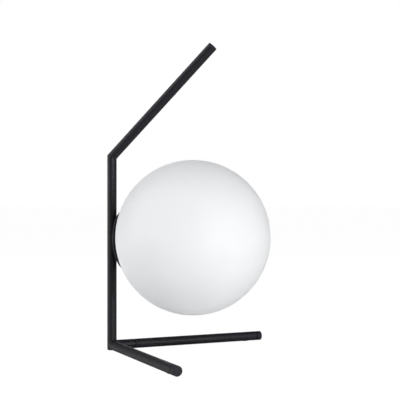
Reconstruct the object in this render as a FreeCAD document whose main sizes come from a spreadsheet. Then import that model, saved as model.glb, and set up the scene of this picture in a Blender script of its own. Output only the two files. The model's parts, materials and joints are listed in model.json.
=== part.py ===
# Glass globe table lamp, in millimetres.
# +Z is up and +X runs from the upright stem towards the globe. The origin is where the stem's foot
# stands on the table. The globe's own axis is level, and lies along +X at the height of its centre.
import FreeCAD, Part
import os

import Sketcher
from FreeCAD import Placement, Rotation, Vector

os.makedirs("parts", exist_ok=True)
doc = FreeCAD.newDocument("globe_table_lamp")

X_AXIS = Vector(1, 0, 0)
Y_AXIS = Vector(0, 1, 0)
Z_AXIS = Vector(0, 0, 1)

# Driving sizes, one row each: alias, value, meaning
DRIVING_SIZES = (
    ("tube_dia", "12.5", "outside diameter of every tube of the frame"),
    ("tube_wall", "1.5", "wall of the tubes"),
    ("stem_height", "256.8", "height of the bend point of stem and arm above the table"),
    ("arm_length", "200.4", "bend point to the tip of the arm"),
    ("arm_rise", "44.4", "slope of the arm above level, in degrees"),
    ("leg_length", "222.9", "stem axis to the end of each leg"),
    ("leg_spread", "90", "angle between the two legs, in degrees"),
    ("leg_proud", "0.3", "height of the leg tubes above the table"),
    ("joint_reach", "33", "stem axis to the seam where the side leg screws on"),
    ("edge_bevel", "0.9", "bevel round the ends of the caps"),
    ("leg_cap_head", "6", "length of a leg cap that shows"),
    ("arm_cap_head", "1.7", "length of the arm cap that shows"),
    ("foot_head", "1.4", "thickness of the stem's foot"),
    ("plug_depth", "12", "length of a cap inside its tube"),
    ("plug_lead", "2", "tapered start of a cap's plug"),
    ("small_bevel", "0.6", "bevel of the stud, the plugs, the clamp ring and the bulb's neck"),
    ("insert_length", "14", "length of each threaded insert at the side leg's joint"),
    ("stud_dia", "6", "stud that holds the side leg"),
    ("stud_bite", "12", "length of the stud in each insert"),
    ("pad_dia", "6.4", "diameter of the pad under each leg"),
    ("pad_peg_dia", "3", "peg of a pad, in its hole in the leg"),
    ("pad_peg_reach", "2", "length of that peg inside the leg's bore"),
    ("pad_inset", "24", "end of the leg to the middle of its pad"),
    ("cord_height", "22", "height of the cord outlet"),
    ("cord_bore", "5.8", "bore of the cord bush"),
    ("bush_wall", "0.8", "wall of the cord bush"),
    ("bush_lip", "1.3", "how far the bush's lip reaches past its hole"),
    ("bush_proud", "1.2", "how far the bush stands out of the stem"),
    ("bush_reach", "1", "how far the bush's sleeve reaches into the stem's bore"),
    ("globe_dia", "200", "outside of the glass globe"),
    ("glass_wall", "2.5", "wall of the glass"),
    ("globe_height", "151.2", "height of the globe's centre"),
    ("boss_dia", "12", "boss between the stem and the dish"),
    ("boss_length", "5.45", "stem to the back of the dish"),
    ("boss_border", "0.5", "flat of the dish's back around the boss"),
    ("dish_dia", "88", "rim of the dish"),
    ("dish_wall", "2.4", "wall of the dish"),
    ("dish_gap", "1.6", "free gap between the dish and the glass"),
    ("mouth_dia", "60", "round hole in the back of the globe"),
    ("mouth_thick", "3", "glass around the hole, pressed flat"),
    ("seat_width", "3", "flat seat around the hole"),
    ("gasket_wall", "0.8", "wall of the gasket around the hole's edge"),
    ("collar_wall", "1.4", "wall of the collar in the hole"),
    ("flange_thick", "1", "flange of the collar"),
    ("clamp_thick", "2.5", "ring that clamps the glass to the collar"),
    ("clamp_notch", "4", "width of the notches in the clamp ring"),
    ("collar_proud", "0.5", "how far the collar stands out of the clamp ring"),
    ("lug_depth", "3.2", "how far each lug stands in from the collar"),
    ("lug_thick", "1.4", "thickness of a lug"),
    ("lug_angle", "20", "width of a lug, in degrees"),
    ("hook_thick", "1.5", "thickness of a hook of the bayonet plate"),
    ("hook_wall", "1.2", "wall that carries a hook"),
    ("hook_side_gap", "0.5", "hook to the inside of the collar"),
    ("stop_angle", "4", "width of the stop at the end of a hook, in degrees"),
    ("slack_angle", "0.7", "play of a lug in its hook, in degrees"),
    ("run_gap", "0.3", "running clearance of the globe's mount"),
    ("plate_gap", "0.7", "lugs to the face of the bayonet plate"),
    ("plate_thick", "1.5", "bayonet plate"),
    ("plate_screw_circle", "31", "circle of the plate's screws"),
    ("screw_dia", "3", "shank of the small screws"),
    ("screw_head_dia", "5.5", "head of the small screws"),
    ("screw_head_thick", "1.8", "head height of the small screws"),
    ("screw_head_bevel", "0.8", "bevel round the head of the small screws"),
    ("screw_bite", "3.2", "length of a screw in the piece that it is driven into"),
    ("nipple_dia", "8", "hollow threaded rod through boss and dish"),
    ("nipple_bore", "5.2", "bore of that rod, for the two wires"),
    ("nipple_gap", "0.3", "stem to the back end of that rod"),
    ("nipple_proud", "0.3", "how far that rod stands out of its last nut"),
    ("hole_gap", "0.1", "clearance of a hole over what passes through it"),
    ("nut_width", "13", "width over flats of the thin nuts"),
    ("nut_thick", "3.5", "thickness of the thin nuts"),
    ("nut_space", "3", "space between the first two nuts"),
    ("washer_dia", "15", "lock washer"),
    ("washer_thick", "0.8", "lock washer's thickness"),
    ("bracket_thick", "1.2", "sheet of the lampholder's bracket"),
    ("bracket_arm", "14", "length of the bracket's arms"),
    ("bracket_width", "11", "width of the bracket"),
    ("bracket_border", "1", "screw head to the end of the bracket's arm"),
    ("holder_space", "1.3", "front nut to the back of the lampholder"),
    ("holder_length", "24", "length of the lampholder"),
    ("holder_width", "22", "width of the lampholder, across its two slots"),
    ("holder_height", "15", "height of the lampholder, between the bracket's arms"),
    ("holder_round", "5", "rounding of the lampholder's long edges"),
    ("recess_depth", "6", "recess in the back of the lampholder"),
    ("slot_height", "5", "height of the recess and of the slots for the pins"),
    ("slot_width", "2.8", "width of a slot for one pin"),
    ("pin_spacing", "9", "distance between the bulb's two pins"),
    ("pin_dia", "0.9", "wire of the bulb's pins"),
    ("pin_width", "3.6", "width of a pin's loop"),
    ("pin_length", "12", "length of the pins"),
    ("blade_thick", "0.6", "contact blade"),
    ("blade_width", "3.6", "width of a contact blade"),
    ("blade_space", "0.8", "space between the tails of the two blades"),
    ("blade_gap", "0.5", "tail of a blade to the end of the recess"),
    ("blade_inset", "5", "mouth of a slot to the end of its blade"),
    ("wire_dia", "2", "insulated wire"),
    ("wire_gap", "0.2", "space between the two wires"),
    ("wire_bend", "4", "radius of the wires' bend from the stem into the rod"),
    ("wire_hole_dia", "6.4", "hole in the stem for the wires"),
    ("splice_dia", "3.4", "crimped splice between cord and wire"),
    ("splice_length", "12", "length of a splice"),
    ("splice_gap", "0.1", "space between the two splices"),
    ("splice_height", "40", "height of the lower end of the splices"),
    ("bulb_base_dia", "16.4", "widest part of the bulb"),
    ("bulb_base_length", "16", "length of the bulb's base"),
    ("bulb_neck_dia", "13", "end of the base at the lampholder"),
    ("bulb_neck_length", "6.4", "straight length of that end"),
    ("bulb_flare_length", "3.2", "length over which the base widens"),
    ("bulb_cover_length", "30", "cover of the bulb, with its dome"),
    ("bulb_cover_wall", "0.8", "wall of the bulb's cover"),
    ("board_length", "19", "light strip inside the bulb"),
    ("board_width", "9", "width of that strip"),
    ("board_thick", "1", "thickness of that strip"),
)

sheet = doc.addObject("Spreadsheet::Sheet", "Size")
for row, (alias, text, meaning) in enumerate(DRIVING_SIZES, start=1):
    sheet.set(f"A{row}", meaning)
    sheet.set(f"B{row}", text)
    sheet.setAlias(f"B{row}", alias)
doc.recompute()

# Sizes and places worked out from the driving ones. Those that end in _x are distances from the
# stem's axis along the globe's axis.
WORKED_OUT = (
    ("tube_r", "Size.tube_dia / 2"),
    ("bore_r", "tube_r - Size.tube_wall"),
    ("leg_axis", "Size.leg_proud + tube_r"),
    ("mitre_reach", "tube_r / tan((90 + Size.arm_rise) / 2)"),
    ("cord_r", "Size.cord_bore / 2"),
    ("bush_r", "cord_r + Size.bush_wall"),
    ("globe_r", "Size.globe_dia / 2"),
    ("globe_in_r", "globe_r - Size.glass_wall"),
    ("dish_in_r", "globe_r + Size.dish_gap"),
    ("dish_out_r", "dish_in_r + Size.dish_wall"),
    ("rim_r", "Size.dish_dia / 2"),
    ("globe_x", "tube_r + Size.boss_length + dish_out_r"),
    ("boss_r", "Size.boss_dia / 2"),
    ("boss_seat_r", "boss_r + Size.boss_border"),
    ("boss_face_x", "globe_x - sqrt(dish_out_r ^ 2 - boss_seat_r ^ 2)"),
    ("rim_back", "sqrt(dish_out_r ^ 2 - rim_r ^ 2)"),
    ("rim_share", "dish_in_r / dish_out_r"),
    ("mouth_r", "Size.mouth_dia / 2"),
    ("seat_r", "mouth_r + Size.seat_width"),
    ("collar_out_r", "mouth_r - Size.gasket_wall"),
    ("collar_in_r", "collar_out_r - Size.collar_wall"),
    ("lug_r", "collar_in_r - Size.lug_depth"),
    ("hook_out_r", "collar_in_r - Size.hook_side_gap"),
    ("post_out_r", "lug_r - Size.run_gap"),
    ("post_in_r", "post_out_r - Size.hook_wall"),
    ("flange_x", "globe_x - sqrt(dish_in_r ^ 2 - seat_r ^ 2) + Size.run_gap"),
    ("plate_x", "flange_x - Size.plate_gap"),
    ("floor_x", "plate_x - Size.plate_thick"),
    ("floor_r", "sqrt(dish_in_r ^ 2 - (globe_x - floor_x) ^ 2)"),
    ("gasket_x", "flange_x + Size.flange_thick"),
    ("mouth_x", "gasket_x + Size.gasket_wall"),
    ("mouth_flat_r", "sqrt(globe_r ^ 2 - (globe_x - mouth_x) ^ 2)"),
    ("mouth_in_x", "mouth_x + Size.mouth_thick"),
    ("mouth_in_r", "sqrt(globe_in_r ^ 2 - (globe_x - mouth_in_x) ^ 2)"),
    ("clamp_x", "mouth_in_x + Size.gasket_wall"),
    ("clamp_end_x", "clamp_x + Size.clamp_thick"),
    ("collar_end_x", "clamp_end_x + Size.collar_proud"),
    ("hook_x", "flange_x + Size.lug_thick + Size.run_gap"),
    ("hook_end_x", "hook_x + Size.hook_thick"),
    ("hook_angle", "Size.stop_angle + 2 * Size.slack_angle + Size.lug_angle"),
    ("hook_lead", "Size.stop_angle + Size.slack_angle + Size.lug_angle / 2"),
    ("nipple_r", "Size.nipple_dia / 2"),
    ("hole_r", "nipple_r + Size.hole_gap"),
    ("washer_x", "plate_x"),
    ("nut_1_x", "plate_x + Size.washer_thick"),
    ("nut_2_x", "nut_1_x + Size.nut_thick + Size.nut_space"),
    ("bracket_x", "nut_2_x + Size.nut_thick"),
    ("nut_3_x", "bracket_x + Size.bracket_thick"),
    ("nipple_end_x", "nut_3_x + Size.nut_thick + Size.nipple_proud"),
    ("holder_x", "nut_3_x + Size.nut_thick + Size.holder_space"),
    ("holder_end_x", "holder_x + Size.holder_length"),
    ("half_height", "Size.holder_height / 2"),
    ("bracket_end_x", "bracket_x + Size.bracket_arm"),
    ("arm_screw_x", "bracket_end_x - Size.bracket_border - Size.screw_head_dia / 2"),
    ("slot_x", "holder_x + Size.recess_depth"),
    ("tail_x", "slot_x - Size.blade_gap - Size.blade_thick"),
    ("slot_in", "Size.pin_spacing / 2 - Size.slot_width / 2"),
    ("slot_out", "slot_in + Size.slot_width"),
    ("pin_r", "Size.pin_dia / 2"),
    ("pin_turn", "(Size.pin_width - Size.pin_dia) / 2"),
    ("bulb_x", "holder_end_x + Size.run_gap"),
    ("pin_tip_x", "bulb_x - Size.pin_length"),
    ("bulb_r", "Size.bulb_base_dia / 2"),
    ("bulb_cover_r", "bulb_r - Size.bulb_cover_wall"),
    ("flare_x", "bulb_x + Size.bulb_neck_length"),
    ("cover_x", "bulb_x + Size.bulb_base_length"),
    ("dome_x", "cover_x + Size.bulb_cover_length - bulb_r"),
    ("wire_y", "(Size.wire_dia + Size.wire_gap) / 2"),
    ("splice_y", "(Size.splice_dia + Size.splice_gap) / 2"),
    ("splice_top", "Size.splice_height + Size.splice_length"),
)

calc = doc.addObject("App::VarSet", "Calc")
for name, formula in WORKED_OUT:
    calc.addProperty("App::PropertyFloat", name, "Worked out")
    calc.setExpression(name, formula)
doc.recompute()

HOOKS = 3
TOLERANCE = 0.001

NO_TURN = Rotation()
SIDE_LEG = Rotation(Z_AXIS, 45)
FRONT_LEG = Rotation(Vector(0, 0, -1), 45)
ARM = Rotation(Vector(0, -1, 0), 45)
BACK_TURN = Rotation(Vector(-1, 0, 0), 45)
# Turns the local Z axis of a round primitive to +X, or down to -Z
Z_TO_X = Rotation(Y_AXIS, 90)
Z_DOWN = Rotation(X_AXIS, 180)
# The same for a prism, with a corner up, and the way that the cord leaves the stem
PRISM_TO_X = Rotation(Vector(1, 1, 1), 120)
OUTLET = Rotation(Z_AXIS, 120)
# Stands a half ring in the XZ plane, bulging to -X
LOOP_TO_MINUS_X = Rotation(Z_AXIS, Vector(-1, 0, 0), Vector(0, -1, 0), "XYZ")


def value(formula):
    """The present value of a formula."""
    return float(sheet.evalExpression(formula))


def bind(thing, **formulas):
    """Tie properties to formulas."""
    for name, formula in formulas.items():
        thing.setExpression(name, formula)


def place(thing, x="0", y="0", z="0", turn=NO_TURN, angle=None):
    """Tie a piece's place to formulas, and the angle of its turn where one is given."""
    thing.Placement = Placement(Vector(value(x), value(y), value(z)), turn)
    for axis, formula in zip("xyz", (x, y, z)):
        thing.setExpression(f".Placement.Base.{axis}", formula)
    if angle:
        thing.setExpression(".Placement.Rotation.Angle", angle)


def new_body(label):
    body = doc.addObject("PartDesign::Body", label)
    body.Label = label
    return body


def sketch_on(body, name, role):
    """An empty sketch on one of the body's own origin planes."""
    sketch = body.newObject("Sketcher::SketchObject", name)
    planes = [item for item in body.Origin.OriginFeatures if item.Role == role]
    sketch.AttachmentSupport = [(planes[0], "")]
    sketch.MapMode = "FlatFace"
    return sketch


def tie_point(sketch, element, point, x, y):
    """Tie one point of a sketch to a pair of formulas."""
    for kind, formula in (("DistanceX", x), ("DistanceY", y)):
        number = sketch.addConstraint(
            Sketcher.Constraint(kind, -1, 1, element, point, value(formula)))
        sketch.setExpression(f"Constraints[{number}]", formula)


def outline(sketch, corners, arcs=()):
    """Draw a closed outline through corners, each a pair of formulas.

    The sides numbered in arcs are arcs about a centre on the sketch's horizontal axis.
    """
    points = [Vector(value(x), value(y), 0) for x, y in corners]
    ends = []
    for side, start in enumerate(points):
        end = points[(side + 1) % len(points)]
        if side not in arcs:
            element = sketch.addGeometry(Part.LineSegment(start, end), False)
            ends.append((element, 1, 2))
            continue
        middle = (end.x ** 2 + end.y ** 2 - start.x ** 2 - start.y ** 2) / (2 * (end.x - start.x))
        centre = Vector(middle, 0, 0)
        circle = Part.Circle(centre, Z_AXIS, (start - centre).Length)
        turns = (circle.parameter(start), circle.parameter(end))
        arc = Part.ArcOfCircle(circle, min(turns), max(turns))
        element = sketch.addGeometry(arc, False)
        sketch.addConstraint(Sketcher.Constraint("PointOnObject", element, 3, -1))
        ends.append((element, 1, 2) if turns[0] < turns[1] else (element, 2, 1))
    for side, (x, y) in enumerate(corners):
        element, first, last = ends[side]
        following, its_first, _ = ends[(side + 1) % len(ends)]
        tie_point(sketch, element, first, x, y)
        sketch.addConstraint(Sketcher.Constraint("Coincident", element, last, following, its_first))


def turn_outline(body, name, corners, arcs=(), angle=None, kind="PartDesign::Revolution"):
    """Revolve an outline in the XZ plane about the body's X axis, to add it or, as a groove, cut it."""
    sketch = sketch_on(body, name + "_section", "XZ_Plane")
    outline(sketch, corners, arcs)
    turned = body.newObject(kind, name)
    turned.Profile = sketch
    turned.ReferenceAxis = (sketch, ["H_Axis"])
    turned.Angle = 360
    if angle:
        bind(turned, Angle=angle)
    return turned


def pad_outline(body, name, role, corners, length, arcs=()):
    """Extrude an outline by the same amount to both sides of its plane."""
    sketch = sketch_on(body, name + "_section", role)
    outline(sketch, corners, arcs)
    pad = body.newObject("PartDesign::Pad", name)
    pad.Profile = sketch
    pad.SideType = "Symmetric"
    bind(pad, Length=length)
    return pad


def pad_ring(body, name, role, start, length):
    """Extrude the tubes' own section along the axis that the plane faces."""
    sketch = sketch_on(body, name + "_section", role)
    sketch.setExpression(".AttachmentOffset.Base.z", start)
    for number, radius in enumerate(("Calc.tube_r", "Calc.bore_r")):
        sketch.addGeometry(Part.Circle(Vector(0, 0, 0), Z_AXIS, value(radius)), False)
        sketch.addConstraint(Sketcher.Constraint("Coincident", number, 3, -1, 1))
        tie = sketch.addConstraint(Sketcher.Constraint("Radius", number, value(radius)))
        sketch.setExpression(f"Constraints[{tie}]", radius)
    pad = body.newObject("PartDesign::Pad", name)
    pad.Profile = sketch
    bind(pad, Length=length)
    return pad


def mitre(body, name, corners):
    """Cut the waste beyond a mitre, as a triangle through the whole tube."""
    sketch = sketch_on(body, name + "_section", "XZ_Plane")
    outline(sketch, corners)
    pocket = body.newObject("PartDesign::Pocket", name)
    pocket.Profile = sketch
    pocket.Type = "ThroughAll"
    pocket.SideType = "Symmetric"
    return pocket


def cylinder(body, name, radius, height, add=False, **where):
    """Cut a cylinder out of a body, or add one, along its own Z axis."""
    kind = "PartDesign::AdditiveCylinder" if add else "PartDesign::SubtractiveCylinder"
    feature = body.newObject(kind, name)
    bind(feature, Radius=radius, Height=height)
    place(feature, **where)
    return feature


def box(body, name, length, width, height, add=False, **where):
    """Cut a box out of a body, or add one, from its lowest corner."""
    kind = "PartDesign::AdditiveBox" if add else "PartDesign::SubtractiveBox"
    feature = body.newObject(kind, name)
    bind(feature, Length=length, Width=width, Height=height)
    place(feature, **where)
    return feature


def drill(body, name, radius, depth, face_x, off_axis):
    """Cut a round hole towards -X from a face, beside the body's X axis."""
    sketch = sketch_on(body, name + "_circle", "YZ_Plane")
    sketch.setExpression(".AttachmentOffset.Base.z", face_x)
    centre = Vector(0, value(off_axis), 0)
    sketch.addGeometry(Part.Circle(centre, Z_AXIS, value(radius)), False)
    tie_point(sketch, 0, 3, "0", off_axis)
    tie = sketch.addConstraint(Sketcher.Constraint("Radius", 0, value(radius)))
    sketch.setExpression(f"Constraints[{tie}]", radius)
    pocket = body.newObject("PartDesign::Pocket", name)
    pocket.Profile = sketch
    bind(pocket, Length=depth)
    return pocket


def around(body, name, originals, copies):
    """Repeat features around the body's X axis."""
    doc.recompute()
    pattern = body.newObject("PartDesign::PolarPattern", name)
    pattern.Originals = originals
    axes = [item for item in body.Origin.OriginFeatures if item.Role == "X_Axis"]
    pattern.Axis = (axes[0], [""])
    pattern.Angle = 360
    pattern.Occurrences = copies
    body.Tip = pattern
    return pattern


def group(label, members):
    """Several like solids as one sub-part."""
    compound = doc.addObject("Part::Compound", label)
    compound.Label = label
    compound.Links = members
    return compound


def on_globe_axis(body):
    place(body, z="Size.globe_height")
    return body


def on_globe_axis_turned(body):
    """As on_globe_axis, and turned so that each hook starts its stop's width before a lug."""
    place(body, z="Size.globe_height", turn=BACK_TURN, angle="Calc.hook_lead")
    return body


def on_side_leg(body):
    place(body, z="Calc.leg_axis", turn=SIDE_LEG, angle="Size.leg_spread / 2")
    return body


def on_front_leg(body):
    place(body, z="Calc.leg_axis", turn=FRONT_LEG, angle="Size.leg_spread / 2")
    return body


def on_arm(body):
    place(body, z="Size.stem_height", turn=ARM, angle="Size.arm_rise")
    return body


# Frame of bent and welded tube

def stem_tube():
    """Upright tube: mitred to the arm at its top, with holes for the wires and the cord."""
    body = new_body("stem_tube")
    top = "Size.stem_height - Size.foot_head + Calc.mitre_reach"
    pad_ring(body, "stem_wall", "XY_Plane", "Size.foot_head", top)
    high = "Size.stem_height + 2 * Calc.mitre_reach"
    low = "Size.stem_height - 2 * Calc.mitre_reach"
    mitre(body, "stem_mitre", [
        ("-2 * Calc.tube_r", high), ("2 * Calc.tube_r", low), ("2 * Calc.tube_r", high)])
    cylinder(body, "wire_hole", "Size.wire_hole_dia / 2", "Size.tube_dia",
             z="Size.globe_height", turn=Z_TO_X)
    cylinder(body, "cord_hole", "Calc.bush_r", "Size.tube_dia", z="Size.cord_height",
             turn=OUTLET * Z_TO_X)
    return body


def arm_tube():
    """Sloping tube: mitred to the stem, open at its tip for the cap."""
    body = new_body("arm_tube")
    length = "Size.arm_length - Size.arm_cap_head + Calc.mitre_reach"
    pad_ring(body, "arm_wall", "YZ_Plane", "-Calc.mitre_reach", length)
    back = "-2 * Calc.mitre_reach"
    mitre(body, "arm_mitre", [
        (back, "2 * Calc.tube_r"), (back, "-2 * Calc.tube_r"),
        ("2 * Calc.mitre_reach", "-2 * Calc.tube_r")])
    return on_arm(body)


def cope_to_stem(body, name):
    """Shape the end of a level piece to the round of the stem."""
    cylinder(body, name, "Calc.tube_r", "4 * Size.tube_dia", z="-2 * Size.tube_dia")


def pad_hole(body, name):
    """Hole in the underside of a leg for the peg of its pad."""
    cylinder(body, name, "Size.pad_peg_dia / 2", "Calc.tube_r",
             x="Size.leg_length - Size.pad_inset", turn=Z_DOWN)


def front_leg_tube():
    """Leg that is coped and welded to the stem."""
    body = new_body("front_leg_tube")
    pad_ring(body, "front_leg_wall", "YZ_Plane", "0", "Size.leg_length - Size.leg_cap_head")
    cope_to_stem(body, "front_leg_cope")
    pad_hole(body, "front_leg_pad_hole")
    return on_front_leg(body)


def side_leg_stub():
    """Short tube welded into the corner between the stem and the front leg."""
    body = new_body("side_leg_stub")
    pad_ring(body, "stub_wall", "YZ_Plane", "0", "Size.joint_reach")
    cope_to_stem(body, "stub_cope")
    towards_front_leg = Rotation(Z_AXIS, -90) * Z_TO_X
    cylinder(body, "stub_leg_cope", "Calc.tube_r", "Size.leg_length", turn=towards_front_leg)
    return on_side_leg(body)


def side_leg_tube():
    """Leg that screws onto the stub."""
    body = new_body("side_leg_tube")
    length = "Size.leg_length - Size.leg_cap_head - Size.joint_reach"
    pad_ring(body, "side_leg_wall", "YZ_Plane", "Size.joint_reach", length)
    pad_hole(body, "side_leg_pad_hole")
    return on_side_leg(body)


def threaded_insert(label, start):
    """Plug in the end of a tube, with a threaded hole for the stud."""
    body = new_body(label)
    turn_outline(body, label + "_turned", [
        (start, "Size.stud_dia / 2"), (f"{start} + Size.insert_length", "Size.stud_dia / 2"),
        (f"{start} + Size.insert_length", "Calc.bore_r"), (start, "Calc.bore_r")])
    return on_side_leg(body)


def joint_stud():
    """Stud between the two inserts, chamfered at both ends."""
    body = new_body("joint_stud")
    first = "Size.joint_reach - Size.stud_bite"
    last = "Size.joint_reach + Size.stud_bite"
    turn_outline(body, "stud_turned", [
        (first, "0"), (first, "Size.stud_dia / 2 - Size.small_bevel"),
        (f"{first} + Size.small_bevel", "Size.stud_dia / 2"),
        (f"{last} - Size.small_bevel", "Size.stud_dia / 2"),
        (last, "Size.stud_dia / 2 - Size.small_bevel"), (last, "0")])
    return on_side_leg(body)


def tube_cap(label, seam, head):
    """Cap with a bevelled head as wide as its tube and a plug that fills the bore."""
    body = new_body(label)
    back = f"{seam} - Size.plug_depth"
    end = f"{seam} + {head}"
    turn_outline(body, label + "_turned", [
        (back, "0"), (back, "Calc.bore_r - Size.small_bevel"),
        (f"{back} + Size.plug_lead", "Calc.bore_r"), (seam, "Calc.bore_r"),
        (seam, "Calc.tube_r"), (f"{end} - Size.edge_bevel", "Calc.tube_r"),
        (end, "Calc.tube_r - Size.edge_bevel"), (end, "0")])
    return body


def leg_pad(label):
    """Pad under a leg: a thin dot that follows the round of the tube, with a peg in a hole."""
    body = new_body(label)
    middle = "Size.leg_length - Size.pad_inset"
    start = f"{middle} - Size.pad_dia"
    end = f"{middle} + Size.pad_dia"
    cylinder(body, label + "_disc", "Size.pad_dia / 2", "Calc.leg_axis", add=True,
             x=middle, z="-Calc.leg_axis")
    cylinder(body, label + "_cope", "Calc.tube_r", "2 * Size.pad_dia", x=start, turn=Z_TO_X)
    turn_outline(body, label + "_round", [
        (start, "Calc.leg_axis"), (end, "Calc.leg_axis"),
        (end, "2 * Calc.leg_axis"), (start, "2 * Calc.leg_axis")], kind="PartDesign::Groove")
    cylinder(body, label + "_peg", "Size.pad_peg_dia / 2",
             "Size.tube_wall + Size.pad_peg_reach", add=True, x=middle, z="-Calc.tube_r")
    return body


def cord_bush():
    """Bush in the back of the foot for the cord: its lip is coped to the stem."""
    body = new_body("cord_bush")
    front = "Calc.tube_r + Size.bush_proud"
    cylinder(body, "bush_lip_disc", "Calc.bush_r + Size.bush_lip", front, add=True, turn=Z_TO_X)
    cope_to_stem(body, "bush_cope")
    inner = "Calc.bore_r - Size.bush_reach"
    cylinder(body, "bush_sleeve", "Calc.bush_r", f"{front} - ({inner})", add=True,
             x=inner, turn=Z_TO_X)
    cylinder(body, "bush_bore", "Calc.cord_r", f"2 * ({front})", turn=Z_TO_X)
    place(body, z="Size.cord_height", turn=OUTLET)
    return body


# Dish and the globe's bayonet mount

def dish_boss():
    """Boss coped and welded to the stem, tapped for the hollow rod."""
    body = new_body("dish_boss")
    cylinder(body, "boss_round", "Calc.boss_r", "Calc.boss_face_x", add=True, turn=Z_TO_X)
    cope_to_stem(body, "boss_cope")
    cylinder(body, "boss_thread", "Calc.nipple_r", "2 * Calc.boss_face_x", turn=Z_TO_X)
    return on_globe_axis(body)


def dish():
    """Turned cup behind the globe, thick in the middle where the bayonet plate screws on."""
    body = new_body("dish")
    turn_outline(body, "dish_turned", [
        ("Calc.boss_face_x", "Calc.hole_r"),
        ("Calc.boss_face_x", "Calc.boss_seat_r"),
        ("Calc.globe_x - Calc.rim_back", "Calc.rim_r"),
        ("Calc.globe_x - Calc.rim_back * Calc.rim_share", "Calc.rim_r * Calc.rim_share"),
        ("Calc.floor_x", "Calc.floor_r"),
        ("Calc.floor_x", "Calc.hole_r")], arcs=(1, 3))
    hole = drill(body, "dish_screw_hole", "Size.screw_dia / 2", "Size.screw_bite",
                 "Calc.floor_x", "Size.plate_screw_circle / 2")
    around(body, "dish_screw_holes", [hole], HOOKS)
    return on_globe_axis_turned(body)


def bayonet_plate():
    """Plate with three hooks, each closed at one end by a stop, that hold the globe's lugs."""
    body = new_body("bayonet_plate")
    turn_outline(body, "plate_disc", [
        ("Calc.floor_x", "Calc.hole_r"), ("Calc.plate_x", "Calc.hole_r"),
        ("Calc.plate_x", "Calc.post_out_r"), ("Calc.floor_x", "Calc.post_out_r")])
    root = "Calc.plate_x - Size.plate_thick / 2"
    hook = turn_outline(body, "hook", [
        (root, "Calc.post_in_r"), ("Calc.hook_end_x", "Calc.post_in_r"),
        ("Calc.hook_end_x", "Calc.hook_out_r"), ("Calc.hook_x", "Calc.hook_out_r"),
        ("Calc.hook_x", "Calc.post_out_r"), (root, "Calc.post_out_r")], angle="Calc.hook_angle")
    stop = turn_outline(body, "hook_stop", [
        (root, "Calc.post_in_r"), ("Calc.hook_end_x", "Calc.post_in_r"),
        ("Calc.hook_end_x", "Calc.hook_out_r"), (root, "Calc.hook_out_r")],
        angle="Size.stop_angle")
    hole = drill(body, "plate_screw_hole", "Size.screw_dia / 2 + Size.hole_gap",
                 "Size.plate_thick", "Calc.plate_x", "Size.plate_screw_circle / 2")
    around(body, "hooks_and_holes", [hook, stop, hole], HOOKS)
    return on_globe_axis_turned(body)


def small_screw(label, head_face):
    """Pan head screw along its own X axis, driven towards -X from the face under its head."""
    body = new_body(label)
    tip = f"{head_face[0]} - {head_face[1]} - Size.screw_bite"
    top = f"{head_face[0]} + Size.screw_head_thick"
    head = "Size.screw_head_dia / 2"
    shank = "Size.screw_dia / 2"
    turn_outline(body, label + "_turned", [
        (tip, "0"), (tip, shank), (head_face[0], shank), (head_face[0], head),
        (f"{top} - Size.screw_head_bevel", head), (top, f"{head} - Size.screw_head_bevel"),
        (top, "0")])
    return body


def plate_screws():
    """Three screws from the bayonet plate into the thick middle of the dish."""
    screws = []
    for number in range(HOOKS):
        screw = small_screw(f"plate_screw_{number + 1}", ("Calc.plate_x", "Size.plate_thick"))
        radius = "Size.plate_screw_circle / 2"
        angle = f"({360 * number / HOOKS} + Calc.hook_lead)"
        place(screw, y=f"{radius} * sin({angle})",
              z=f"Size.globe_height + {radius} * cos({angle})")
        screws.append(screw)
    return group("plate_screws", screws)


def fixing_nipple():
    """Hollow threaded rod that clamps the dish to the boss and carries the lampholder."""
    body = new_body("fixing_nipple")
    start = "Calc.tube_r + Size.nipple_gap"
    turn_outline(body, "nipple_turned", [
        (start, "Size.nipple_bore / 2"), ("Calc.nipple_end_x", "Size.nipple_bore / 2"),
        ("Calc.nipple_end_x", "Calc.nipple_r"), (start, "Calc.nipple_r")])
    return on_globe_axis(body)


def lock_washer():
    body = new_body("lock_washer")
    end = "Calc.washer_x + Size.washer_thick"
    turn_outline(body, "washer_turned", [
        ("Calc.washer_x", "Calc.hole_r"), (end, "Calc.hole_r"), (end, "Size.washer_dia / 2"),
        ("Calc.washer_x", "Size.washer_dia / 2")])
    return on_globe_axis(body)


def thin_nuts():
    """Three thin nuts on the rod: one clamps plate and dish, two hold the bracket."""
    nuts = []
    for number in (1, 2, 3):
        body = new_body(f"thin_nut_{number}")
        prism = body.newObject("PartDesign::AdditivePrism", f"nut_hexagon_{number}")
        prism.Polygon = 6
        bind(prism, Circumradius="Size.nut_width / sqrt(3)", Height="Size.nut_thick")
        place(prism, turn=PRISM_TO_X)
        cylinder(body, f"nut_thread_{number}", "Calc.nipple_r", "Size.nut_thick", turn=Z_TO_X)
        place(body, x=f"Calc.nut_{number}_x", z="Size.globe_height")
        nuts.append(body)
    return group("thin_nuts", nuts)


# Globe and the collar in its mouth

def glass_globe():
    """Blown globe with a round mouth whose edge is pressed flat on both faces."""
    body = new_body("glass_globe")
    turn_outline(body, "globe_blown", [
        ("Calc.mouth_x", "Calc.mouth_r"),
        ("Calc.mouth_x", "Calc.mouth_flat_r"),
        ("Calc.globe_x + Calc.globe_r", "0"),
        ("Calc.globe_x + Calc.globe_in_r", "0"),
        ("Calc.mouth_in_x", "Calc.mouth_in_r"),
        ("Calc.mouth_in_x", "Calc.mouth_r")], arcs=(1, 3))
    return on_globe_axis(body)


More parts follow.
